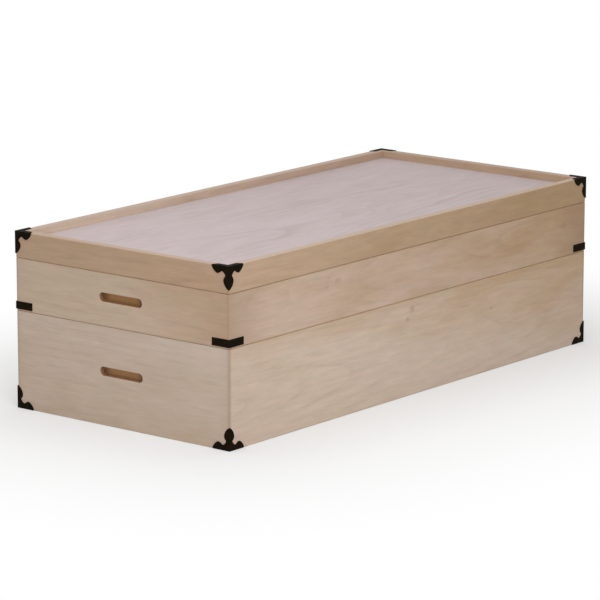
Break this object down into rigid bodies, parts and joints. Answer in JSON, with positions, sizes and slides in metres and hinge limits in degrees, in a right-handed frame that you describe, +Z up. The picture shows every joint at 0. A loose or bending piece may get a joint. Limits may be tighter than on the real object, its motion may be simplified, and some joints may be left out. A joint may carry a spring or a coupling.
{
  "type": "clothing chest",
  "caption": "Long low stacking chest of pale wood: two open tiers and a lift-off lid with a raised rim, finger slots in the ends and black corner fittings.",
  "frame": {"origin": "centre of the base, on the surface that the chest stands on", "axes": "+Z up, +X along the long side, -Y is the long side towards the viewer"},
  "size_m": [0.913, 0.425, 0.2768],
  "materials": {
    "paulownia_board": "planed pale paulownia, unvarnished",
    "paulownia_panel": "planed pale paulownia, slightly whitened",
    "paulownia_inner": "planed pale paulownia, raw",
    "black_fitting": "black lacquered sheet, satin",
    "black_tack": "black lacquered tack heads, satin"
  },
  "bodies": {
    "lower_tier": {"lower_front_board": "paulownia_board", "lower_back_board": "paulownia_board", "lower_left_board": "paulownia_board", "lower_right_board": "paulownia_board", "lower_bottom_panel": "paulownia_inner", "lower_batten_left": "paulownia_inner", "lower_batten_right": "paulownia_inner", "lower_lip_front": "paulownia_inner", "lower_lip_back": "paulownia_inner", "lower_lip_left": "paulownia_inner", "lower_lip_right": "paulownia_inner", "base_corner_front_left": "black_fitting", "base_corner_front_right": "black_fitting", "base_corner_back_left": "black_fitting", "base_corner_back_right": "black_fitting", "base_corner_tacks": "black_tack"},
    "upper_tier": {"upper_front_board": "paulownia_board", "upper_back_board": "paulownia_board", "upper_left_board": "paulownia_board", "upper_right_board": "paulownia_board", "upper_bottom_panel": "paulownia_inner", "upper_lip_front": "paulownia_inner", "upper_lip_back": "paulownia_inner", "upper_lip_left": "paulownia_inner", "upper_lip_right": "paulownia_inner", "band_front_left": "black_fitting", "band_front_right": "black_fitting", "band_back_left": "black_fitting", "band_back_right": "black_fitting", "band_tacks": "black_tack"},
    "lid": {"lid_front_board": "paulownia_board", "lid_back_board": "paulownia_board", "lid_left_board": "paulownia_board", "lid_right_board": "paulownia_board", "lid_panel": "paulownia_panel", "lid_batten_left": "paulownia_inner", "lid_batten_right": "paulownia_inner", "lid_corner_front_left": "black_fitting", "lid_corner_front_right": "black_fitting", "lid_corner_back_left": "black_fitting", "lid_corner_back_right": "black_fitting", "lid_corner_tacks": "black_tack"}
  },
  "joints": [
    {"name": "upper_tier_lift", "type": "slide", "parent": "lower_tier", "child": "upper_tier", "axis": [0, 0, 1], "range_m": [0, 0.25]},
    {"name": "lid_lift", "type": "slide", "parent": "upper_tier", "child": "lid", "axis": [0, 0, 1], "range_m": [0, 0.2]}
  ]
}
